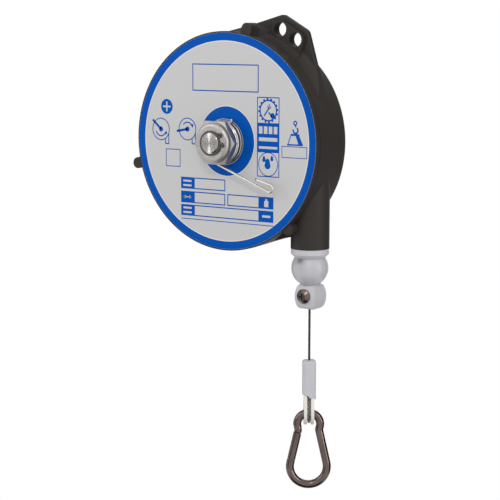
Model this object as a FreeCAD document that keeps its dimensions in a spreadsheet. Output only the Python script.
import FreeCAD, Part
import math
import os
import re
import Sketcher
from FreeCAD import Placement, Rotation, Vector

# A spring balancer: a round housing hangs from a lug, a tapered drum inside winds a wire rope
# under a spiral spring, and the rope carries a snap hook. The spring's inner end is fixed to a
# shaft that a hex hub turns from the front; a wrap spring locks that hub to the housing.
#
# Lengths are millimetres and angles are degrees. Sizes are taken from the shaft: X to the right
# seen from the front, Y into the housing with the label's face at 0, and Z up. Every piece is
# then placed from the suspension hole, which is the model's origin.

doc = FreeCAD.newDocument("Balancer")

SIZES = {
    # housing
    "shell_radius": 92.5, "shell_back_radius": 90.5, "shell_depth": 50.7, "wall": 3.5,
    "back_round": 4.0, "label_inset": 1.2, "label_thickness": 0.5, "cover_thickness": 4.0,
    "gasket_thickness": 0.5, "gasket_width": 2.4, "spigot_depth": 2.0, "fit": 0.05,
    "rear_boss_radius": 17.0, "rear_boss_length": 5.0,
    # suspension lug
    "lug_angle": 60.8, "lug_flare": 44.3, "lug_rise": 21.5, "lug_step": 3.0,
    "lug_thickness": 8.0, "lug_corner": 6.0, "lug_foot": 11.0, "hole_radius": 6.0,
    "hole_spacing": 17.2, "hole_rise": 10.4, "pad_margin": 1.5, "pad_foot": 18.8,
    # ears for the cover screws
    "ear_angle_top": 77.0, "ear_angle_left": 193.5, "ear_angle_low": 312.4,
    "ear_rise": 4.5, "ear_low_drop": 2.6, "ear_radius": 4.8, "ear_depth": 13.0, "screw_radius": 2.0,
    "screw_clearance": 0.3, "screw_head_radius": 3.6, "screw_head_height": 2.4,
    "dowel_end": 12.4, "screw_start": 2.4, "ear_front": 0.8,
    # neck and rope guide
    "neck_inset": 22.0, "neck_radius": 16.3, "neck_bottom": 87.5,
    "neck_top": 28.0, "neck_bore": 12.5, "guide_flange": 16.0, "guide_flange_height": 4.6,
    "guide_bevel": 2.9, "guide_length": 16.0, "guide_bore": 2.6, "guide_lip": 13.2,
    # shaft, hub and clutch
    "shaft_radius": 8.7, "shaft_front": 21.7, "journal_radius": 7.5, "bush_wall": 1.5,
    "bush_length": 6.6, "collar_radius": 18.6, "collar_flange": 1.7,
    "clutch_radius": 16.3, "clutch_joint": 5.4, "hex_flats": 36.0, "hex_back": 9.7,
    "hex_front": 15.4, "washer_radius": 16.8, "washer_back": 15.9, "washer_front": 19.2,
    "clip_width": 2.4, "clip_thickness": 1.2, "clip_ear": 2.1, "clip_turn": 15.0, "clip_gap": 4.2,
    "key_width": 4.0,
    "collar_body_radius": 24.0,
    # wrap spring
    "wrap_wire": 2.1, "wrap_sides": 12, "wrap_steps": 50, "wrap_pitch": 2.15, "wrap_turns": 2.5,
    "wrap_start": 3.0, "tail_angle": -21.2,
    "tail_length": 61.5, "tail_bend": 3.1, "tail_turn": 187.0, "tail_return": 15.0,
    "tip_length": 2.2, "tip_bend": 2.2,
    # drum and power spring
    "drum_web_front": 11.0, "drum_web": 3.0, "drum_hub_radius": 15.0, "drum_hub_front": 9.5, "drum_hub_end": 17.0,
    "drum_rim_wall": 4.0, "drum_taper": 5.0, "drum_flange": 3.5, "groove_pitch": 2.6,
    "groove_count": 5.0, "groove_depth": 1.0, "rope_radius": 1.0, "drum_gap": 2.0,
    "cup_cover": 1.5, "spring_strip": 0.6, "spring_turns": 9.0,
    "spring_margin": 1.2, "spring_gap": 0.3, "washer_ring": 13.5, "washer_gap": 0.1, "anchor_pin_radius": 2.0, "drum_screw_radius": 1.5,
    "drum_screw_head": 2.8, "drum_screw_length": 6.0,
    # rope end
    "ball_radius": 15.6, "ball_centre": 104.3, "seat_gap": 0.3, "clamp_width": 19.8,
    "clamp_depth": 18.6, "clamp_shift": 0.8, "clamp_height": 20.7, "clamp_top": 117.8,
    "clamp_bulge": 1.6, "clamp_screw_radius": 3.0, "clamp_head_radius": 6.1,
    "clamp_head_height": 3.2, "clamp_screw_drop": 9.6, "insert_radius": 4.4,
    "insert_length": 5.0, "pad_thickness": 1.2,
    "sleeve_top": 183.5, "sleeve_bottom": 216.8, "sleeve_width": 11.6, "sleeve_round": 3.4,
    "sleeve_slant": 4.6, "sleeve_wall": 1.2, "ferrule_length": 16.0, "ferrule_width": 5.4,
    "eye_apex": 209.0, "crown_rise": 7.5, "thimble_width": 8.6, "thimble_wall": 1.3, "thimble_inner": 5.5,
    "thimble_flange": 3.3, "thimble_groove": 3.4, "hook_play": 1.85, "hook_turn": 34.5,
    # snap hook
    "hook_top": 226.1, "hook_wire": 7.0, "hook_small": 9.8, "hook_large": 15.8,
    "hook_length": 70.0, "hook_waist": 7.6, "hook_waist_round": 5.0, "gate_length": 26.0,
    "gate_gap": 0.8, "gate_tongue": 2.6,
    "gate_slot_gap": 0.2, "gate_pin": 1.25, "gate_overlap": 5.6, "gate_open": 24.0,
}

# What follows from the sizes, as formulas of the sheet.
PLACES = {
    "label_radius": "shell_radius - label_inset",
    "lug_radius": "shell_radius + lug_rise",
    "hole_circle": "shell_radius + hole_rise",
    "ear_circle": "shell_radius + ear_rise",
    "ear_circle_low": "ear_circle - ear_low_drop",
    "neck_x": "shell_radius - neck_inset",
    "cover_back": "label_thickness + cover_thickness",
    "shell_front": "cover_back + gasket_thickness",
    "shell_inner": "shell_radius - wall",
    "shell_back_inner": "shell_back_radius - wall",
    "back_wall": "shell_depth - wall",
    "bush_outer": "journal_radius + bush_wall",
    "bush_seat": "shaft_radius + bush_wall",
    "rear_bush_front": "back_wall - rear_boss_length",
    "rear_bore_end": "rear_bush_front + bush_length",
    "drum_rim_back": "rear_bush_front - drum_gap",
    "groove_back": "drum_rim_back - drum_flange",
    "groove_front": "groove_back - groove_pitch * groove_count",
    "neck_y": "groove_front + groove_pitch / 2",
    "lug_front": "neck_y - lug_thickness / 2 - 1",
    "hole_x": "hole_circle * cos(lug_angle) + hole_spacing / 2 * sin(lug_angle)",
    "hole_z": "hole_circle * sin(lug_angle) - hole_spacing / 2 * cos(lug_angle)",
    "safety_x": "hole_circle * cos(lug_angle) - hole_spacing / 2 * sin(lug_angle)",
    "safety_z": "hole_circle * sin(lug_angle) + hole_spacing / 2 * cos(lug_angle)",
    "lug_middle": "lug_front + lug_thickness / 2",
    "shift_x": "-hole_x",
    "shift_y": "-lug_middle",
    "shift_z": "-hole_z",
    "drum_pitch": "neck_x",
    "drum_small": "drum_pitch - rope_radius",
    "drum_large": "drum_small + drum_taper",
    "cup_radius": "drum_small - drum_rim_wall",
    "drum_rim_front": "drum_web_front",
    "cup_cover_front": "drum_rim_back - cup_cover",
    "cup_front": "drum_web_front + drum_web",
    "rear_hub_end": "drum_rim_back + drum_gap / 2",
    "spring_front": "cup_front + spring_margin",
    "spring_width": "cup_cover_front - spring_margin - 0.3 - spring_front",
    "spring_outer": "cup_radius - spring_margin",
    "drum_bush_outer": "shaft_radius + bush_wall",
    "seat_radius": "ball_radius + seat_gap",
    "guide_bottom": "neck_bottom + guide_flange_height + guide_bevel",
    "clamp_bottom": "clamp_top + clamp_height",
    "hook_outer": "hook_small + hook_wire / 2",
    "hook_centre": "hook_top + hook_outer",
    "hook_drop": "hook_length - hook_outer - hook_large - hook_wire / 2",
    "hook_under": "hook_top + hook_wire",
    "eye_inner_bottom": "hook_under + hook_play",
    "eye_centre": "eye_inner_bottom - thimble_inner",
    "rope_eye_radius": "thimble_inner + thimble_wall + rope_radius",
}

WORDS = re.compile(r"[a-z_]+")


def formula(text, home="Places."):
    """A formula in plain names, written for the expression engine, with angles in degrees."""
    text = re.sub(r"(sin|cos|tan)\(([a-z_]+)\)", r"\1(\2 * 1deg)", text)

    def cell(word):
        name = word.group()
        if name in SIZES:
            return "Sizes." + name
        return home + name if name in PLACES else name

    return WORDS.sub(cell, text)


def fill(title, entries):
    """A spreadsheet with a name and an aliased value in each row."""
    sheet = doc.addObject("Spreadsheet::Sheet", title)
    for row, (name, value) in enumerate(entries.items(), start=1):
        sheet.set(f"A{row}", name)
        sheet.set(f"B{row}", value if isinstance(value, str) else str(value))
        sheet.setAlias(f"B{row}", name)
    doc.recompute()
    return sheet


sizes = fill("Sizes", SIZES)
places = fill("Places", {name: "=" + formula(text, "") for name, text in PLACES.items()})


class Measures:
    """The sheets' values as plain numbers, for the pieces that are worked out in code."""

    def __getattr__(self, name):
        value = (sizes if name in SIZES else places).get(name)
        return float(getattr(value, "Value", value))


at = Measures()
pieces = []


def bind(obj, **formulas):
    """Ties properties to the sheet; a double underscore stands for a dot."""
    for name, text in formulas.items():
        obj.setExpression(name.replace("__", "."), formula(str(text)))
    return obj


def keep(obj, label):
    """Makes an object a piece: its label, and its place measured from the suspension hole."""
    obj.Label = label
    bind(obj, Placement__Base__x="shift_x", Placement__Base__y="shift_y",
         Placement__Base__z="shift_z")
    pieces.append(obj)
    return obj


def keep_shape(shape, label):
    """A piece whose shape is worked out from the sheet's values in code."""
    moved = shape.Placement.toMatrix()
    shape.Placement = Placement()
    shape = shape.transformed(moved, True)
    obj = doc.addObject("Part::Feature", label + "_solid")
    obj.Shape = shape
    obj.Label = label
    bind(obj, Placement__Base__x="shift_x", Placement__Base__y="shift_y",
         Placement__Base__z="shift_z")
    pieces.append(obj)
    return obj


def plane(body, role):
    """One of a body's own origin planes."""
    return next(part for part in body.Origin.OriginFeatures if part.Role == role)


def polygon(body, name, role, corners):
    """A closed sketch of straight lines whose corners are each set by two formulas."""
    sketch = body.newObject("Sketcher::SketchObject", name)
    sketch.AttachmentSupport = [(plane(body, role), "")]
    sketch.MapMode = "FlatFace"
    values = [(number(x), number(y)) for x, y in corners]
    count = len(corners)
    for i in range(count):
        start, end = values[i], values[(i + 1) % count]
        sketch.addGeometry(Part.LineSegment(Vector(*start, 0), Vector(*end, 0)), False)
    for i in range(count):
        sketch.addConstraint(Sketcher.Constraint("Coincident", i, 2, (i + 1) % count, 1))
    for i, (x, y) in enumerate(corners):
        for kind, text, value in (("DistanceX", x, values[i][0]), ("DistanceY", y, values[i][1])):
            k = sketch.addConstraint(Sketcher.Constraint(kind, -1, 1, i, 1, value))
            sketch.setExpression(f"Constraints[{k}]", formula(str(text)))
    return sketch


def number(text):
    """What a formula gives, read back from a scratch cell of the sheet."""
    places.set("D1", "=" + formula(str(text), ""))
    places.recompute()
    value = places.get("D1")
    return float(getattr(value, "Value", value))


def turned(name, corners):
    """A body turned about the shaft's line, from a profile of radius and depth."""
    body = doc.addObject("PartDesign::Body", name)
    sketch = polygon(body, name + "_profile", "XY_Plane", corners)
    spin = body.newObject("PartDesign::Revolution", name + "_turned")
    spin.Profile = sketch
    spin.ReferenceAxis = (sketch, ["V_Axis"])
    spin.Angle = 360
    return body


def along_y(name, radius, front, back, x="0", z="0"):
    """A cylinder that runs from one depth to another."""
    tube = doc.addObject("Part::Cylinder", name)
    tube.Placement = Placement(Vector(), Rotation(Vector(1, 0, 0), -90))
    return bind(tube, Radius=radius, Height=f"({back}) - ({front})", Placement__Base__x=x,
                Placement__Base__y=front, Placement__Base__z=z)


def along_z(name, radius, low, high, x="neck_x", y="neck_y"):
    """An upright cylinder between two heights."""
    tube = doc.addObject("Part::Cylinder", name)
    return bind(tube, Radius=radius, Height=f"({high}) - ({low})", Placement__Base__x=x,
                Placement__Base__y=y, Placement__Base__z=low)


def fused(name, *parts):
    whole = doc.addObject("Part::MultiFuse", name)
    whole.Shapes = list(parts)
    return whole


def cut(name, base, *tools):
    """The base with the tools taken out."""
    whole = doc.addObject("Part::Cut", name)
    whole.Base = base
    whole.Tool = tools[0] if len(tools) == 1 else fused(name + "_tools", *tools)
    return whole


def grouped(name, *parts):
    """Like pieces that share one name."""
    group = doc.addObject("Part::Compound", name)
    group.Links = list(parts)
    return group


# ---------------------------------------------------------------- housing

def lug_outline():
    """The lug seen from the front: two tangents of the housing, a flat top, and a foot well
    inside the housing's wall. Drawn on its own axis, and turned to the lug's angle later."""
    flare = math.radians(at.lug_flare)
    reach = at.shell_radius - 1.2
    top = (reach - math.cos(flare) * at.lug_radius) / math.sin(flare)
    inner = at.shell_inner + 1.0
    right = [Vector(inner * math.sin(flare), 0, inner * math.cos(flare)),
             Vector(reach * math.sin(flare), 0, reach * math.cos(flare)),
             Vector(top, 0, at.lug_radius)]
    left = [Vector(-p.x, 0, p.z) for p in reversed(right)]
    return Part.makePolygon(right + left + right[:1])


def turned_to(shape, angle):
    """A shape drawn with its axis up, turned so that the axis points at an angle from +X."""
    return shape.rotated(Vector(), Vector(0, 1, 0), 90 - angle)


def ramp(front, rise):
    """A ring about the shaft's line whose front is a hollow curve from the housing's side, near
    its front edge, up to a depth. The lug's foot is cut from it."""
    low, surface, high = at.shell_inner + 0.6, at.shell_radius - 0.4, at.shell_radius + rise
    start = Vector(surface, front - at.lug_foot, 0)
    end = Vector(high, front, 0)
    hollow = Vector(surface + rise * 0.28, front - at.lug_foot * 0.32, 0)
    far = at.lug_front + at.lug_thickness
    edges = [Part.Arc(start, hollow, end).toShape()]
    corners = [end, Vector(high, far, 0), Vector(low, far, 0), Vector(low, start.y, 0), start]
    edges += [Part.makeLine(p, q) for p, q in zip(corners, corners[1:])]
    return Part.Face(Part.Wire(edges)).revolve(Vector(), Vector(0, 1, 0), 360)


def lug_pad():
    """The outline of the thicker pad: round the two holes, and wider at its foot."""
    reach = at.hole_radius + at.pad_margin
    half = at.hole_spacing / 2
    sides = [Vector(half + reach, 0, at.hole_circle + 2),
             Vector(at.pad_foot, 0, at.shell_radius - 1), Vector(at.pad_foot, 0, at.shell_inner)]
    outline = sides + [Vector(-p.x, 0, p.z) for p in reversed(sides)] + sides[:1]
    depth = Vector(0, at.lug_thickness, 0)
    pad = Part.Face(Part.makePolygon(outline)).extrude(depth)
    ends = [Part.makeCylinder(reach, at.lug_thickness, Vector(side * half, 0, at.hole_circle),
                              Vector(0, 1, 0)) for side in (-1, 1)]
    bridge = Part.makeBox(2 * half, at.lug_thickness, reach + at.hole_spacing,
                          Vector(-half, 0, at.hole_circle - at.hole_spacing))
    return pad.fuse(ends + [bridge]).removeSplitter()


def lug():
    """The lug: a plate with rounded corners, a thicker pad round the holes, and hollow feet."""
    back = at.lug_front + at.lug_thickness
    thin = at.lug_thickness - at.lug_step
    plate = Part.Face(lug_outline()).extrude(Vector(0, thin, 0))
    plate.translate(Vector(0, back - thin, 0))
    corners = [edge for edge in plate.Edges
               if all(v.Point.z > at.lug_radius - 0.01 for v in edge.Vertexes)
               and abs(edge.Vertexes[0].Point.y - edge.Vertexes[1].Point.y) > 1]
    plate = plate.makeFillet(at.lug_corner, corners)
    rims = [edge for edge in plate.Edges
            if all(v.Point.z > at.shell_radius * 0.78 for v in edge.Vertexes)
            and edge.BoundBox.YLength < 0.01 and edge.BoundBox.ZMax > at.shell_radius]
    plate = plate.makeFillet(1.0, rims)
    pad = lug_pad()
    pad.translate(Vector(0, at.lug_front, 0))
    prism = Part.Face(lug_outline()).extrude(Vector(0, back, 0))
    wings = ramp(back - thin, at.lug_rise * 0.3).common(prism)
    wide = Part.makeBox(2 * at.pad_foot, back, at.lug_rise, Vector(-at.pad_foot, 0,
                                                                  at.shell_inner))
    foot = ramp(at.lug_front, at.hole_rise - at.hole_radius - 1.2).common(wide)
    whole = plate.fuse([wings, foot, pad])
    holes = [Part.makeCylinder(at.hole_radius, back, Vector(side * at.hole_spacing / 2, 1,
                                                            at.hole_circle), Vector(0, 1, 0))
             for side in (-1, 1)]
    return turned_to(whole.cut(holes), at.lug_angle)


def ear(angle, circle, front, back):
    """A round ear on the housing's rim, with a root that reaches into the wall."""
    length = back - front
    boss = Part.makeCylinder(at.ear_radius, length, Vector(0, front, circle), Vector(0, 1, 0))
    foot = at.shell_radius - at.wall + 0.5
    root = Part.makeBox(2 * at.ear_radius, length, circle - foot,
                        Vector(-at.ear_radius, front, foot))
    return turned_to(boss.fuse(root), angle)


def ear_hole(angle, circle, radius, front, back):
    hole = Part.makeCylinder(radius, back - front, Vector(0, front, circle), Vector(0, 1, 0))
    return turned_to(hole, angle)


EARS = {"ear_angle_top": "ear_circle", "ear_angle_left": "ear_circle",
        "ear_angle_low": "ear_circle_low"}
ears = [(getattr(at, angle), getattr(at, circle)) for angle, circle in EARS.items()]


def housing_shell():
    """The cup of the housing, closed at the back, with lug, neck, ears and rear bearing boss."""
    cup = turned("shell_cup", [
        ("shell_radius", "shell_front"),
        ("shell_back_radius", "shell_depth - back_round"),
        ("shell_back_radius - back_round * 0.3", "shell_depth - back_round * 0.3"),
        ("shell_back_radius - back_round", "shell_depth"),
        ("0", "shell_depth"), ("0", "rear_bore_end"), ("bush_outer", "rear_bore_end"),
        ("bush_outer", "rear_bush_front"), ("rear_boss_radius", "rear_bush_front"),
        ("rear_boss_radius + 1", "back_wall"),
        ("shell_back_inner - 1", "back_wall"), ("shell_back_inner", "back_wall - 1"),
        ("shell_inner", "shell_front")])
    neck = along_z("neck_tube", "neck_radius", "-neck_bottom", "-neck_top")
    bore = along_z("neck_bore_tool", "neck_bore", "-neck_bottom - 1", "-neck_top + 1")
    room = along_y("shell_room", "shell_inner + 0.3", "label_thickness", "shell_depth")
    doc.recompute()
    web_side = Part.makePolygon([Vector(x, 0, z) for x, z in (
        (4.0, -at.shell_radius + 0.8), (at.neck_x - 8, -at.neck_bottom + 10.5),
        (at.neck_x - 8, -52.0), (30.0, -at.shell_inner + 8), (4.0, -at.shell_inner - 0.5),
        (4.0, -at.shell_radius + 0.8))])
    web = Part.Face(web_side).extrude(Vector(0, at.neck_radius * 1.5, 0))
    web.translate(Vector(0, at.neck_y - at.neck_radius * 0.75, 0))
    outside = neck.Shape.fuse([web, lug()]).cut([room.Shape])
    whole = cup.Shape.fuse([outside] + [ear(*place, at.shell_front, at.ear_depth)
                                       for place in ears])
    front = at.shell_front - 1
    holes = [ear_hole(*place, at.screw_radius + at.screw_clearance, front, at.ear_depth + 1)
             for place in ears[:2]]
    holes.append(ear_hole(*ears[2], at.screw_radius, front, at.dowel_end + 0.2))
    whole = whole.cut([bore.Shape] + holes)
    return keep_shape(whole.removeSplitter(), "housing_shell")


def front_cover():
    """The dark front disc: a lip round the label, a spigot inside the housing, three ears."""
    disc = turned("cover_disc", [
        ("shell_radius", "0"), ("shell_radius", "cover_back"),
        ("shell_inner - gasket_width - fit", "cover_back"),
        ("shell_inner - gasket_width - fit", "cover_back + spigot_depth"),
        ("shell_inner - gasket_width - 3", "cover_back + spigot_depth"),
        ("shell_inner - gasket_width - 4", "cover_back"),
        ("collar_body_radius", "cover_back"), ("collar_body_radius", "cover_back + 3"),
        ("clutch_radius + 1.5", "cover_back + 3"),
        ("clutch_radius + 1.5", "label_thickness"), ("label_radius + 0.1", "label_thickness"),
        ("label_radius + 0.1", "0")])
    doc.recompute()
    whole = disc.Shape.fuse([ear(*place, at.ear_front, at.cover_back) for place in ears])
    recess = Part.makeCylinder(at.label_radius + 0.1, 2, Vector(0, at.label_thickness - 2, 0),
                               Vector(0, 1, 0))
    whole = whole.cut([recess] + [
        ear_hole(*place, at.screw_radius, at.screw_start - 0.4, at.cover_back + 1)
        for place in ears])
    return keep_shape(whole.removeSplitter(), "front_cover")


def cover_fittings():
    """The label's plate, the gasket, two screws from behind, and the dowel by the neck."""
    plate = turned("label_disc", [
        ("collar_radius + 0.5", "0"), ("label_radius", "0"), ("label_radius", "label_thickness"),
        ("collar_radius + 0.5", "label_thickness")])
    keep(plate, "label_plate")
    ring = turned("gasket_ring", [
        ("shell_inner - gasket_width", "cover_back"), ("shell_radius - 0.6", "cover_back"),
        ("shell_radius - 0.6", "shell_front"), ("shell_inner - gasket_width", "shell_front")])
    keep(ring, "cover_gasket")
    screws = []
    spots = [(f"{circle} * cos({angle})", f"{circle} * sin({angle})")
             for angle, circle in EARS.items()]
    for i, (x, z) in enumerate(spots[:2]):
        shank = along_y(f"cover_shank_{i}", "screw_radius - fit", "screw_start",
                        "ear_depth + screw_head_height / 2", x, z)
        head = along_y(f"cover_head_{i}", "screw_head_radius", "ear_depth",
                       "ear_depth + screw_head_height", x, z)
        drive = doc.addObject("Part::Prism", f"cover_drive_{i}")
        drive.Placement = Placement(Vector(), Rotation(Vector(1, 0, 0), -90))
        bind(drive, Circumradius="screw_radius * 0.75", Height="screw_head_height",
             Placement__Base__x=x, Placement__Base__y="ear_depth + screw_head_height / 2",
             Placement__Base__z=z)
        screws.append(cut(f"cover_screw_{i}", fused(f"cover_bolt_{i}", shank, head), drive))
    keep(grouped("cover_screw_set", *screws), "cover_screws")
    dowel = along_y("dowel_bar", "screw_radius - fit", "screw_start", "dowel_end", *spots[2])
    keep(grouped("dowel_group", dowel), "cover_dowel")


def rope_guide():
    """The pale bush in the neck's mouth, with a round seat for the stop ball."""
    body = doc.addObject("PartDesign::Body", "guide_blank")
    sketch = polygon(body, "guide_profile", "XZ_Plane", [
        ("guide_bore", "-neck_bottom + guide_length"),
        ("neck_bore - fit", "-neck_bottom + guide_length"),
        ("neck_bore - fit", "-neck_bottom"), ("guide_flange", "-neck_bottom"),
        ("guide_flange", "-neck_bottom - guide_flange_height"),
        ("guide_lip", "-guide_bottom"),
        ("guide_bore", "-guide_bottom")])
    spin = body.newObject("PartDesign::Revolution", "guide_turned")
    spin.Profile = sketch
    spin.ReferenceAxis = (sketch, ["V_Axis"])
    spin.Angle = 360
    seat = doc.addObject("Part::Sphere", "guide_seat")
    bind(seat, Radius="seat_radius", Placement__Base__z="-ball_centre")
    slot = doc.addObject("Part::Box", "guide_slot")
    bind(slot, Length="0.8", Width="guide_flange * 2", Height="guide_flange_height * 0.7",
         Placement__Base__x="guide_flange * 0.35",
         Placement__Base__y="-guide_flange * 3 + 1.2",
         Placement__Base__z="-neck_bottom - guide_flange_height * 0.7 - 0.4")
    guide = cut("guide_seated", body, seat, slot)
    guide.Label = "rope_guide"
    bind(guide, Placement__Base__x="neck_x + shift_x", Placement__Base__y="neck_y + shift_y",
         Placement__Base__z="shift_z")
    pieces.append(guide)


# ---------------------------------------------------------------- clutch collar, shaft and hub

def clutch_pieces():
    """The fixed half of the clutch, which carries the shaft's front bush."""
    tube = "clutch_radius + 1.5 - fit"
    collar = turned("collar_turned", [
        ("bush_seat", "-clutch_joint"), ("clutch_radius - 0.4", "-clutch_joint"),
        ("clutch_radius", "-clutch_joint + 0.4"), ("clutch_radius", "-collar_flange"),
        ("collar_radius - 0.5", "-collar_flange"), ("collar_radius", "-collar_flange + 0.5"),
        ("collar_radius", "label_thickness"), (tube, "label_thickness"),
        (tube, "cover_back + 3"), ("bush_seat", "cover_back + 3")])
    keep(collar, "clutch_collar")
    front = turned("front_bush_ring", [
        ("shaft_radius + fit", "-clutch_joint + 0.2"), ("bush_seat", "-clutch_joint + 0.2"),
        ("bush_seat", "cover_back + 3.2"), ("shaft_radius + fit", "cover_back + 3.2")])
    keep(front, "front_bush")
    rear = turned("rear_bush_ring", [
        ("journal_radius + fit", "rear_bush_front"), ("bush_outer", "rear_bush_front"),
        ("bush_outer", "rear_bore_end"), ("journal_radius + fit", "rear_bore_end")])
    keep(rear, "rear_bush")


def main_shaft():
    """The shaft: a chamfered nose, a clip groove, a slot for the spring and a rear journal."""
    groove_back = "washer_front + washer_gap"
    body = turned("shaft_turned", [
        ("0", "-shaft_front"), ("shaft_radius - 0.7", "-shaft_front"),
        ("shaft_radius", "-shaft_front + 0.7"),
        ("shaft_radius", f"-({groove_back}) - clip_thickness - 0.1"),
        ("shaft_radius - 0.7", f"-({groove_back}) - clip_thickness - 0.1"),
        ("shaft_radius - 0.7", f"-({groove_back})"), ("shaft_radius", f"-({groove_back})"),
        ("shaft_radius", "rear_bush_front - 0.2"),
        ("journal_radius", "rear_bush_front - 0.2"),
        ("journal_radius", "rear_bore_end - 0.6"), ("0", "rear_bore_end - 0.6")])
    slot = doc.addObject("Part::Box", "spring_slot")
    bind(slot, Length="shaft_radius * 2 + 2", Width="spring_width + 1",
         Height="spring_strip * 2", Placement__Base__x="-shaft_radius - 1",
         Placement__Base__y="spring_front - 0.5", Placement__Base__z="-spring_strip")
    keyway = doc.addObject("Part::Box", "shaft_keyway")
    bind(keyway, Length="key_width", Width="hex_front - clutch_joint - 0.9",
         Height="shaft_radius", Placement__Base__x="-key_width / 2",
         Placement__Base__y="-hex_front + 0.4", Placement__Base__z="shaft_radius - 1.4")
    keep(cut("main_shaft_slotted", body, slot, keyway), "main_shaft")


def adjusting_hub():
    """The hub that a spanner turns: the clutch's turning half behind a chamfered hexagon."""
    bevel = "hex_flats / 2 / cos(30) + 0.1"
    blank = turned("hub_blank", [
        ("shaft_radius + fit", "-washer_back"), ("washer_radius - 1.9", "-washer_back"),
        ("washer_radius - 1.9", "-hex_front"), ("hex_flats / 2", "-hex_front"),
        (bevel, "-hex_front + 1.4"), (bevel, "-hex_back - 1.0"),
        ("hex_flats / 2", "-hex_back"), ("clutch_radius", "-hex_back"),
        ("clutch_radius", "-clutch_joint - 0.5"), ("clutch_radius - 0.4", "-clutch_joint - 0.1"),
        ("shaft_radius + fit", "-clutch_joint - 0.1")])
    prism = doc.addObject("Part::Prism", "hub_hexagon")
    prism.Polygon = 6
    prism.Placement = Placement(Vector(), Rotation(Vector(1, 0, 0), -90))
    bind(prism, Circumradius="hex_flats / 2 / cos(30)", Height="washer_back",
         Placement__Base__y="-washer_back - 0.5")
    hexed = doc.addObject("Part::MultiCommon", "hub_hexed")
    hexed.Shapes = [blank, prism]
    keyway = doc.addObject("Part::Box", "hub_keyway")
    bind(keyway, Length="key_width", Width="washer_back", Height="shaft_radius + 1.4",
         Placement__Base__x="-key_width / 2", Placement__Base__y="-hex_front + 0.4")
    keep(cut("adjusting_hub_keyed", hexed, keyway), "adjusting_hub")


def shaft_fittings():
    """The hub's key, its front washer, the spring clip with its two eyes, and the thrust rings."""
    key = doc.addObject("Part::Box", "key_bar")
    bind(key, Length="key_width", Width="hex_front - clutch_joint - 0.9", Height="2.6",
         Placement__Base__x="-key_width / 2", Placement__Base__y="-hex_front + 0.4",
         Placement__Base__z="shaft_radius - 1.4")
    keep(grouped("key_group", key), "hub_key")
    washer = turned("washer_turned", [
        ("shaft_radius + fit", "-washer_front"), ("washer_radius - 2.4", "-washer_front"),
        ("washer_radius - 1.4", "-washer_front + 0.25"),
        ("washer_radius - 0.6", "-washer_front + 0.8"),
        ("washer_radius - 0.15", "-washer_front + 1.5"),
        ("washer_radius", "-washer_front + 2.2"), ("washer_radius", "-washer_back - 0.3"),
        ("washer_radius - 0.3", "-washer_back"), ("shaft_radius + fit", "-washer_back")])
    keep(washer, "front_washer")
    keep_shape(spring_clip(), "spring_clip")
    rings = [turned(name, [
        ("shaft_radius + fit", front), ("washer_ring", front), ("washer_ring", back),
        ("shaft_radius + fit", back)]) for name, front, back in (
            ("thrust_ring_front", "cover_back + 3.3", "drum_hub_front - washer_gap"),
            ("thrust_ring_rear", "rear_hub_end + washer_gap", "rear_bush_front - 0.1"))]
    keep(grouped("thrust_ring_pair", *rings), "thrust_rings")


def spring_clip():
    """An open ring in the shaft's groove; its gap faces +X between two drilled eyes."""
    inner = at.shaft_radius - 0.6
    outer = inner + at.clip_width
    back = -(at.washer_front + at.washer_gap)
    y_line = Vector(0, 1, 0)
    start = Vector(0, back - at.clip_thickness, 0)
    ring = Part.makeCylinder(outer, at.clip_thickness, start, y_line)
    eye_reach = outer
    eye_rise = at.clip_gap
    eyes = [Part.makeCylinder(at.clip_ear, at.clip_thickness,
                              start + Vector(eye_reach, 0, side * eye_rise), y_line)
            for side in (-1, 1)]
    whole = ring.fuse(eyes)
    open_half = at.clip_gap - at.clip_ear
    gap = Part.makeBox(2 * outer, at.clip_thickness + 2, 2 * open_half,
                       start + Vector(0, -1, -open_half))
    holes = [Part.makeCylinder(at.clip_ear * 0.4, at.clip_thickness + 2,
                               start + Vector(eye_reach, -1, side * eye_rise), y_line)
             for side in (-1, 1)]
    bore = Part.makeCylinder(inner, at.clip_thickness + 2, start + Vector(0, -1, 0), y_line)
    return whole.cut([gap, bore] + holes).rotated(Vector(), y_line, -at.clip_turn)


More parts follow.
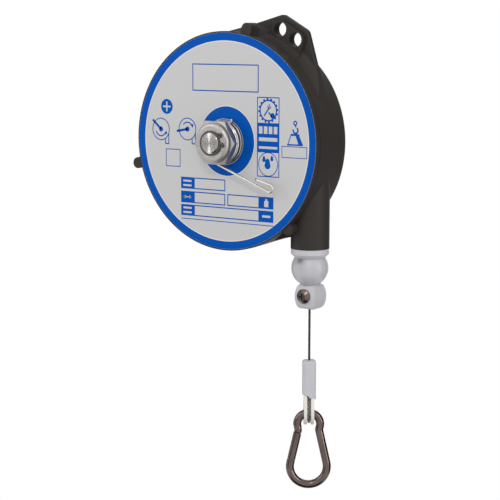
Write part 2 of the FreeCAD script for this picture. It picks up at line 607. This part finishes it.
def wrap_spring():
    """The clutch's coil, its short end bent outwards, and the long tail with a finger loop.

    One wire follows one smooth curve: in along the short end, round the shaft's line on a helix,
    off on a tangent, back on an arc and along a short leg. It is drawn with narrow flats all
    round, because a swept circle on this curve needs far too many facets."""
    radius = at.clutch_radius + at.wrap_wire / 2 + at.fit
    last = math.radians(at.tail_angle - 90)
    first = last - 2 * math.pi * at.wrap_turns
    climb = at.wrap_pitch / (2 * math.pi)

    def on_coil(angle):
        return Vector(radius * math.cos(angle), -at.wrap_start - climb * (angle - first),
                      radius * math.sin(angle))

    def heading(angle):
        return Vector(-radius * math.sin(angle), -climb, radius * math.cos(angle)).normalize()

    def line(start, end, count):
        """Evenly spaced points from a start up to, but without, an end."""
        return [start + (end - start) * (i / count) for i in range(count)]

    def arc(centre, start, way, turn, count):
        """Points on an arc that leaves a start heading one way, without its last point."""
        out = start - centre
        return [centre + out * math.cos(turn * i / count)
                + way * out.Length * math.sin(turn * i / count) for i in range(count)]

    start, outward = on_coil(first), Vector(math.cos(first), 0, math.sin(first))
    hub = start + outward * at.tip_bend
    bend_start = hub - heading(first) * at.tip_bend
    tip = bend_start + outward * at.tip_length
    count = round(at.wrap_turns * at.wrap_steps)
    along = heading(last)
    across = Vector(-along.z, 0, along.x).normalize()
    straight_end = on_coil(last) + along * at.tail_length
    loop_centre = straight_end + across * at.tail_bend
    turn = math.radians(at.tail_turn)
    back = along * math.cos(turn) + across * math.sin(turn)
    loop_end = arc(loop_centre, straight_end, along, turn * 2, 2)[1]
    spots = (line(tip, bend_start, 3) + arc(hub, bend_start, outward * -1, math.pi / 2, 4)
             + [on_coil(first + (last - first) * i / count) for i in range(count)]
             + line(on_coil(last), straight_end, 16)
             + arc(loop_centre, straight_end, along, turn, 12)
             + line(loop_end, loop_end + back * at.tail_return, 6)
             + [loop_end + back * at.tail_return])
    curve = Part.BSplineCurve()
    curve.interpolate(spots)
    sides, rings = round(at.wrap_sides), []
    width = along.cross(across)
    for i in range(len(spots)):
        way = curve.tangent(curve.parameter(spots[i]))[0]
        width = (width - way * width.dot(way)).normalize()
        depth = way.cross(width)
        corners = [spots[i] + (width * math.cos(2 * math.pi * k / sides)
                               + depth * math.sin(2 * math.pi * k / sides)) * (at.wrap_wire / 2)
                   for k in range(sides)]
        rings.append(Part.makePolygon(corners + corners[:1]))
    return Part.makeLoft(rings, True, True)


# ---------------------------------------------------------------- drum and power spring

def drum_pieces():
    """The cup that winds the rope on a tapered, grooved rim, and the lid that closes it."""
    taper = "drum_taper / (groove_pitch * groove_count)"
    rim = [("drum_small - 2", "drum_rim_front"), ("drum_small - 2", "groove_front - drum_flange"),
           ("drum_small + 3.5", "groove_front - drum_flange + 1.2"),
           ("drum_small + 3.5", "groove_front - 0.6")]
    for i in range(round(at.groove_count)):
        for share, deep in ((0.06, "0"), (0.32, "groove_depth"), (0.68, "groove_depth"),
                            (0.94, "0")):
            step = f"groove_pitch * {i + share:.2f}"
            rim.append((f"drum_small + {step} * {taper} - {deep}", f"groove_front + {step}"))
    rim += [("drum_large + 3", "groove_back + 0.6"), ("drum_large + 3", "drum_rim_back"),
            ("cup_radius", "drum_rim_back")]
    body = turned("drum_blank", [
        ("bush_seat", "drum_hub_front"), ("drum_hub_radius", "drum_hub_front"),
        ("drum_hub_radius", "drum_web_front")] + rim + [
        ("cup_radius", "cup_front"), ("drum_hub_radius - 2", "cup_front"),
        ("drum_hub_radius - 2", "drum_hub_end - 2"), ("bush_seat", "drum_hub_end - 2")])
    holes = []
    for i in range(4):
        hole = along_y(f"lid_screw_hole_{i}", "drum_screw_radius",
                       "drum_rim_back - drum_screw_length - 1", "drum_rim_back + 1",
                       lid_x(i), lid_z(i))
        holes.append(hole)
    keep(cut("drum_drilled", body, *holes), "cable_drum")
    lid = turned("lid_turned", [
        ("bush_seat", "cup_cover_front - 1.2"), ("drum_hub_radius - 2", "cup_cover_front - 1.2"),
        ("drum_hub_radius - 2", "drum_rim_back"),
        ("drum_large + 2.5", "drum_rim_back"), ("drum_large + 2.5", "drum_rim_back + 0.8"),
        ("bush_seat", "drum_rim_back + 0.8")])
    lid_holes = [along_y(f"lid_hole_{i}", "drum_screw_radius + 0.2", "cup_cover_front - 1",
                         "drum_rim_back + 3", lid_x(i), lid_z(i)) for i in range(4)]
    keep(cut("lid_drilled", lid, *lid_holes), "drum_lid")
    screws = []
    for i in range(4):
        shank = along_y(f"lid_shank_{i}", "drum_screw_radius - fit",
                        "drum_rim_back - drum_screw_length", "drum_rim_back + 1.2",
                        lid_x(i), lid_z(i))
        head = along_y(f"lid_head_{i}", "drum_screw_head", "drum_rim_back + 0.8",
                       "drum_rim_back + 1.6", lid_x(i), lid_z(i))
        screws.append(fused(f"lid_screw_{i}", shank, head))
    keep(grouped("lid_screw_set", *screws), "drum_lid_screws")
    bushes = [turned(name, [
        ("shaft_radius + fit", front), ("bush_seat", front), ("bush_seat", back),
        ("shaft_radius + fit", back)]) for name, front, back in (
            ("drum_bush_front", "drum_hub_front", "drum_hub_end - 2"),
            ("drum_bush_rear", "cup_cover_front - 1.2", "rear_hub_end"))]
    keep(grouped("drum_bush_pair", *bushes), "drum_bushes")


def lid_x(i):
    return f"(cup_radius + 2) * cos({45 + 90 * i})"


def lid_z(i):
    return f"(cup_radius + 2) * sin({45 + 90 * i})"


def cable_winding():
    """The rope's turns in the grooves behind the one it leaves from, lying side by side."""
    taper = "drum_taper / (groove_pitch * groove_count)"
    outer = []
    for i in range(1, round(at.groove_count)):
        for share, rise in ((0.08, "0.8"), (0.3, "2"), (0.7, "2"), (0.9, "0.8")):
            step = f"groove_pitch * {i + share:.2f}"
            outer.append((f"drum_small + {step} * {taper} + rope_radius * {rise}",
                          f"groove_front + {step}"))
    first = "groove_pitch * 1.08"
    last = f"groove_pitch * {round(at.groove_count) - 0.1:.2f}"
    inner = [(f"drum_small + {step} * {taper} + 0.05", f"groove_front + {step}")
             for step in (last, first)]
    keep(turned("winding_turns", outer + inner), "cable_winding")


def power_spring():
    """The flat spiral spring: half circles about two centres, so that each turn grows by the
    same step; its outer end meets the anchor pin and its inner end curls round the shaft."""
    inner = at.shaft_radius + at.spring_gap
    step = (at.spring_outer - at.spring_strip - inner) / at.spring_turns
    half_turns = round(at.spring_turns * 2)

    def side(offset):
        edges = []
        for k in range(half_turns):
            radius = inner + step * (k + 0.5) / 2 + offset
            centre = Vector(-(step / 4) * (-1) ** k, 0, 0)
            flip = (-1) ** k
            start = centre + Vector(radius * flip, 0, 0)
            middle = centre + Vector(0, 0, radius * flip)
            end = centre - Vector(radius * flip, 0, 0)
            edges.append(Part.Arc(start, middle, end).toShape())
        return edges

    near, far = side(0), side(at.spring_strip)
    ends = [Part.makeLine(near[i].Vertexes[j].Point, far[i].Vertexes[j].Point)
            for i, j in ((0, 0), (-1, -1))]
    outline = Part.Wire(Part.__sortEdges__(near + far + ends))
    strip = Part.Face(outline).extrude(Vector(0, at.spring_width, 0))
    strip.translate(Vector(0, at.spring_front, 0))
    keep_shape(strip, "power_spring")
    end = far[-1].Vertexes[-1].Point
    side_x = 1 if end.x > 0 else -1
    foot = Vector(side_x * (at.cup_radius - at.anchor_pin_radius - at.fit), at.cup_front,
                  side_x * (at.anchor_pin_radius + 0.1))
    pin = Part.makeCylinder(at.anchor_pin_radius, at.spring_width, foot, Vector(0, 1, 0))
    keep_shape(pin, "spring_anchor_pin")


# ---------------------------------------------------------------- rope and what hangs on it

def on_rope(shape, label):
    """A piece drawn about the rope's line with the hook's plane as X and Z, set in place."""
    shape = shape.rotated(Vector(), Vector(0, 0, 1), at.hook_turn)
    shape.translate(Vector(at.neck_x, at.neck_y, 0))
    return keep_shape(shape, label)


def rope():
    """The wire rope in two stretches: drum to stop ball, which pays out, and ball to ferrule."""
    top = along_z("rope_top", "rope_radius", "-ball_centre + ball_radius - 2.0", "0")
    keep(grouped("rope_top_run", top), "rope_payout")
    low = along_z("rope_low", "rope_radius", "-eye_apex + 6.5",
                  "-ball_centre + ball_radius - 2.0")
    keep(grouped("rope_low_run", low), "wire_rope")


def stop_ball():
    """The pale ball that stops the rope at the neck, bored for the rope."""
    ball = doc.addObject("Part::Sphere", "ball_round")
    bind(ball, Radius="ball_radius", Placement__Base__x="neck_x", Placement__Base__y="neck_y",
         Placement__Base__z="-ball_centre")
    bore = along_z("ball_bore", "rope_radius", "-ball_centre - ball_radius - 1",
                   "-ball_centre + ball_radius + 1")
    flat = doc.addObject("Part::Box", "ball_flat")
    bind(flat, Length="ball_radius * 2", Width="ball_radius * 2", Height="ball_radius",
         Placement__Base__x="neck_x - ball_radius", Placement__Base__y="neck_y - ball_radius",
         Placement__Base__z="-clamp_top - ball_radius")
    keep(cut("stop_ball_bored", ball, bore, flat), "stop_ball")


def barrel(half, reach):
    """A slab with barrel sides and bevelled ends, so wide each way in X and so deep in Y."""
    top, bottom = -at.clamp_top, -at.clamp_bottom
    inset, bevel = half - at.clamp_bulge, at.clamp_bulge
    edges = []
    for side in (-1, 1):
        ends = [Vector(side * inset, 0, top - bevel), Vector(side * inset, 0, bottom + bevel)]
        middle = Vector(side * half, 0, (top + bottom) / 2)
        edges.append(Part.Arc(ends[0], middle, ends[1]).toShape())
        edges += [Part.makeLine(end, Vector(side * (inset - bevel), 0, z))
                  for end, z in zip(ends, (top, bottom))]
    edges += [Part.makeLine(Vector(bevel - inset, 0, z), Vector(inset - bevel, 0, z))
              for z in (top, bottom)]
    slab = Part.Face(Part.Wire(Part.__sortEdges__(edges))).extrude(Vector(0, 2 * reach, 0))
    slab.translate(Vector(0, -reach, 0))
    return slab


def clamp():
    """The block that grips the rope: a pan-head screw in a brass insert drives a pad onto it."""
    front = at.neck_y - at.clamp_depth / 2
    z = -at.clamp_top - at.clamp_screw_drop
    y_line = Vector(0, 1, 0)

    def round_bar(radius, start, end):
        return Part.makeCylinder(radius, end - start, Vector(at.neck_x, start, z), y_line)

    sides = barrel(at.clamp_depth / 2, at.clamp_width)
    sides.rotate(Vector(), Vector(0, 0, 1), 90)
    block = barrel(at.clamp_width / 2, at.clamp_depth).common(sides)
    block.translate(Vector(at.neck_x + at.clamp_shift, at.neck_y, 0))
    rope_front = at.neck_y - at.rope_radius
    insert_end = front + at.insert_length
    pad_front = rope_front - at.pad_thickness
    bore = Part.makeCylinder(at.rope_radius, 2 * at.clamp_height,
                             Vector(at.neck_x, at.neck_y, -at.clamp_bottom - 1))
    tools = [bore, round_bar(at.insert_radius, front - 1, insert_end),
             round_bar(at.clamp_screw_radius, front, rope_front)]
    keep_shape(block.cut(tools), "clamp_block")
    insert = round_bar(at.insert_radius, front, insert_end)
    keep_shape(insert.cut(round_bar(at.clamp_screw_radius, front, insert_end)), "clamp_insert")
    keep_shape(round_bar(at.clamp_screw_radius, pad_front, rope_front), "clamp_pad")
    high, wide = at.clamp_head_height, at.clamp_head_radius
    rim = round_bar(wide, front - high * 0.35, front)
    dome = Part.makeCone(wide * 0.55, wide, high * 0.65, Vector(at.neck_x, front - high, z),
                         y_line)
    cross = [Part.makeBox(length, high * 0.6, height,
                          Vector(at.neck_x - length / 2, front - high - 0.1, z - height / 2))
             for length, height in ((wide * 0.9, wide * 0.18), (wide * 0.18, wide * 0.9))]
    screw = round_bar(at.clamp_screw_radius, front, pad_front).fuse([rim, dome]).cut(cross)
    keep_shape(screw, "clamp_screw")


def sleeve_and_ferrule():
    """The crimped ferrule on the rope, and the pale sleeve over it with a slanting mouth."""
    width, high = at.sleeve_width, at.sleeve_bottom - at.sleeve_top
    low = -at.sleeve_bottom
    block = Part.makeBox(width, width, high, Vector(-width / 2, -width / 2, low))
    block = block.makeFillet(at.sleeve_round, [
        edge for edge in block.Edges if abs(edge.tangentAt(edge.FirstParameter).z) > 0.9])
    top = [edge for edge in block.Edges
           if all(v.Point.z > low + high - 0.01 for v in edge.Vertexes)]
    block = block.makeFillet(at.sleeve_round * 0.7, top)
    wedge = Part.Face(Part.makePolygon([Vector(x, -width, z) for x, z in (
        (-width, low + at.sleeve_slant), (-width * 0.12, low + at.sleeve_slant * 0.75),
        (width * 0.2, low), (width * 0.2, low - 5), (-width, low - 5),
        (-width, low + at.sleeve_slant))])).extrude(Vector(0, 2 * width, 0))
    inner = width / 2 - at.sleeve_wall
    room = Part.makeBox(2 * inner, 2 * inner, high - at.sleeve_wall * 2,
                        Vector(-inner, -inner, low - 0.01))
    pass_hole = Part.makeCylinder(at.rope_radius + 0.15, high + 5, Vector(0, 0, low))
    reach = at.thimble_inner + at.thimble_wall + at.thimble_flange + 0.2
    mouth = Part.Face(eye_ring(reach, at.crown_rise - at.eye_apex))
    mouth = mouth.extrude(Vector(at.thimble_width + 0.4, 0, 0))
    mouth.translate(Vector(-at.thimble_width / 2 - 0.2, 0, 0))
    on_rope(block.cut([wedge, room, pass_hole, mouth]), "ferrule_sleeve")
    ferrule_top = -at.sleeve_top - at.sleeve_wall * 2 - 0.6
    wide = 2 * inner - 0.4
    ferrule = Part.makeBox(at.ferrule_width, wide, at.ferrule_length,
                           Vector(-at.ferrule_width / 2, -wide / 2,
                                  ferrule_top - at.ferrule_length))
    ferrule = ferrule.makeFillet(at.ferrule_width * 0.4, [
        edge for edge in ferrule.Edges if abs(edge.tangentAt(edge.FirstParameter).z) > 0.9])
    hole = Part.makeCylinder(at.rope_radius, 100, Vector(0, 0, ferrule_top - 50))
    on_rope(ferrule.cut(hole), "rope_ferrule")


def eye_ring(radius, apex):
    """The drop-shaped outline at a distance from the eye's centre: an arc and two tangents."""
    centre = Vector(0, 0, -at.eye_centre)
    rise = apex - centre.z
    lean = math.asin(radius / rise)
    touch = [centre + Vector(0, side * radius * math.cos(lean), radius * math.sin(lean))
             for side in (-1, 1)]
    tip = Vector(0, 0, apex)
    return Part.Wire([Part.makeLine(tip, touch[0]),
                      Part.Arc(touch[0], centre - Vector(0, 0, radius), touch[1]).toShape(),
                      Part.makeLine(touch[1], tip)])


def rope_eye():
    """The thimble's channelled drop, and the rope's eye that lies in its channel."""
    width, apex = at.thimble_width, -at.eye_apex
    inner, wall, flange = at.thimble_inner, at.thimble_wall, at.thimble_flange
    floor = inner + wall
    half = Vector(width / 2, 0, 0)

    def slab(outer, hollow, thick):
        """A drop-shaped ring of one thickness."""
        drops = [Part.Face(eye_ring(radius, apex + (radius - floor) * 2.2))
                 .extrude(Vector(thick, 0, 0)) for radius in (outer, hollow)]
        piece = drops[0].cut(drops[1])
        piece.translate(Vector(-thick / 2, 0, 0))
        return piece

    body = slab(floor + flange, inner, width)
    channel = slab(floor + flange + 2, floor, at.thimble_groove)
    crown = Part.makeBox(width + 2, 40, 40, Vector(-width / 2 - 1, -20, apex - 3))
    on_rope(body.cut([channel, crown]), "thimble")
    legs = Part.makeBox(10, 40, 40, Vector(-5, -20, apex - 3))
    ring = slab(floor + 2 * at.rope_radius, floor + 0.02, 2 * at.rope_radius).cut(legs)
    on_rope(ring, "rope_eye")


# ---------------------------------------------------------------- snap hook

class HookLine:
    """The hook's centre line in its own plane, X across and Z up from the small arc's centre.

    Small arc, waist, straight leg, large arc and the mirrored straight leg that the gate
    closes. The leg's lean comes from the two radii, the distance and the waist."""

    def __init__(self):
        self.drop = at.hook_drop
        lean = math.asin((at.hook_large - at.hook_waist) / self.drop)
        self.normal = Vector(math.cos(lean), 0, math.sin(lean))
        self.down = Vector(math.sin(lean), 0, -math.cos(lean))
        reach = at.hook_small + at.hook_waist_round
        turn = lean - math.acos((at.hook_waist + at.hook_waist_round) / reach)
        self.waist = Vector(math.cos(turn), 0, math.sin(turn)) * reach
        self.leave = self.waist * (at.hook_small / reach)
        self.leg_top = self.waist - self.normal * at.hook_waist_round
        bisector = (self.leave - self.waist).normalize() + (self.leg_top - self.waist).normalize()
        self.waist_middle = self.waist + bisector.normalize() * at.hook_waist_round
        self.bottom = Vector(0, 0, -self.drop)
        self.leg_end = self.bottom + self.normal * at.hook_large

    def mirrored(self, point):
        return Vector(-point.x, point.y, point.z)

    def gate_point(self, along):
        """A point of the gate's leg, at a distance below the waist."""
        return self.mirrored(self.leg_top + self.down * along)

    def edges(self):
        """From the gate's nose round the large arc, up the leg and over to the gate's hinge."""
        nose = at.gate_length
        top = Vector(0, 0, at.hook_small)
        low = self.bottom - Vector(0, 0, at.hook_large)
        return [
            Part.makeLine(self.gate_point(nose), self.mirrored(self.leg_end)),
            Part.Arc(self.mirrored(self.leg_end), low, self.leg_end).toShape(),
            Part.makeLine(self.leg_end, self.leg_top),
            Part.Arc(self.leg_top, self.waist_middle, self.leave).toShape(),
            Part.Arc(self.leave, top, self.mirrored(self.leave)).toShape(),
            Part.Arc(self.mirrored(self.leave), self.mirrored(self.waist_middle),
                     self.mirrored(self.leg_top)).toShape(),
            Part.makeLine(self.mirrored(self.leg_top), self.gate_point(0.6)),
        ]


def snap_hook():
    """The bent wire body, the gate with its tongue and plunger spring, and the gate's pin."""
    line = HookLine()
    radius = at.hook_wire / 2
    lift = Vector(0, 0, -at.hook_centre)
    across = Vector(0, 1, 0)
    edges = line.edges()
    path = Part.Wire(edges)
    start = edges[0].valueAt(edges[0].FirstParameter)
    heading = (line.mirrored(line.leg_end) - line.gate_point(at.gate_length)).normalize()
    body = path.makePipe(Part.Face(Part.Wire(Part.makeCircle(radius, start, heading))))
    down = line.mirrored(line.down)
    turn = Rotation(Vector(0, 0, -1), down)

    def bar(from_along, to_along, size):
        """A round bar on the gate's line between two distances below the waist."""
        return Part.makeCylinder(size, to_along - from_along, line.gate_point(from_along), down)

    def flat_bar(from_along, to_along, wide, thick):
        """A flat bar on the gate's line: so wide in the hook's plane, so thick across it."""
        box = Part.makeBox(wide, thick, to_along - from_along,
                           Vector(-wide / 2, -thick / 2, -(to_along - from_along)))
        box.Placement = Placement(line.gate_point(from_along), turn)
        return box

    pin_at = line.gate_point(-0.6)
    slot = flat_bar(-at.gate_overlap + 1.6, 4, 4 * radius,
                    at.gate_tongue + 2 * at.gate_slot_gap)
    pin_hole = Part.makeCylinder(at.gate_pin, 4 * radius, pin_at - across * 2 * radius, across)
    body = body.cut([slot, pin_hole])
    body.translate(lift)
    on_rope(body, "hook_body")
    shank = bar(0.6 + at.gate_gap, at.gate_length - at.gate_gap, radius - 0.05)
    tongue = flat_bar(-3.0, 4, 2 * radius - 1.4, at.gate_tongue)
    tongue = tongue.common(Part.makeCylinder(2.9, 20, pin_at - across * 10, across).fuse(
        bar(1.0, 8, radius)))
    relief = flat_bar(-8 * radius, 0.8, 12 * radius, 6 * radius)
    relief.rotate(pin_at, across, at.gate_open + 2)
    gate = shank.cut(relief).fuse(tongue).cut(Part.makeCylinder(at.gate_pin + at.fit, 4 * radius,
                                                    pin_at - across * 2 * radius, across))
    bore = bar(5, 14, 1.6)
    gate = gate.cut(bore)
    gate.translate(lift)
    on_rope(gate, "hook_gate")
    pin = Part.makeCylinder(at.gate_pin, 2 * radius - 0.6, pin_at - across * (radius - 0.3),
                            across)
    pin.translate(lift)
    on_rope(pin, "gate_pin")
    spring = bar(5.3, 13.7, 1.3)
    spring.translate(lift)
    on_rope(spring, "gate_spring")
    for name, point in (("swing", Vector(0, 0, at.hook_small)), ("gate pin", pin_at)):
        place = (point + lift)
        place = Rotation(Vector(0, 0, 1), at.hook_turn).multVec(place)
        place += Vector(at.neck_x + at.shift_x, at.neck_y + at.shift_y, at.shift_z)
        print(f"{name} axis passes {place.x:.4f} {place.y:.4f} {place.z:.4f}")


# ---------------------------------------------------------------- build, check and write

housing_shell()
front_cover()
cover_fittings()
rope_guide()
clutch_pieces()
main_shaft()
adjusting_hub()
shaft_fittings()
keep_shape(wrap_spring(), "wrap_spring")
drum_pieces()
cable_winding()
power_spring()
rope()
stop_ball()
clamp()
sleeve_and_ferrule()
rope_eye()
snap_hook()

doc.recompute()
for obj in doc.Objects:
    if "Invalid" in obj.State or "Error" in obj.State:
        raise RuntimeError(f"{obj.Name} did not build: {obj.State}")
os.makedirs("parts", exist_ok=True)
for piece in pieces:
    shape = piece.Shape
    if shape.isNull() or not shape.isValid() or not shape.Solids:
        raise RuntimeError(f"{piece.Label} has no valid solid")
    shape.exportStep(f"parts/{piece.Label}.step")
    print(f"{piece.Label}: {len(shape.Solids)} solid(s), {shape.Volume / 1000:.2f} cm3")
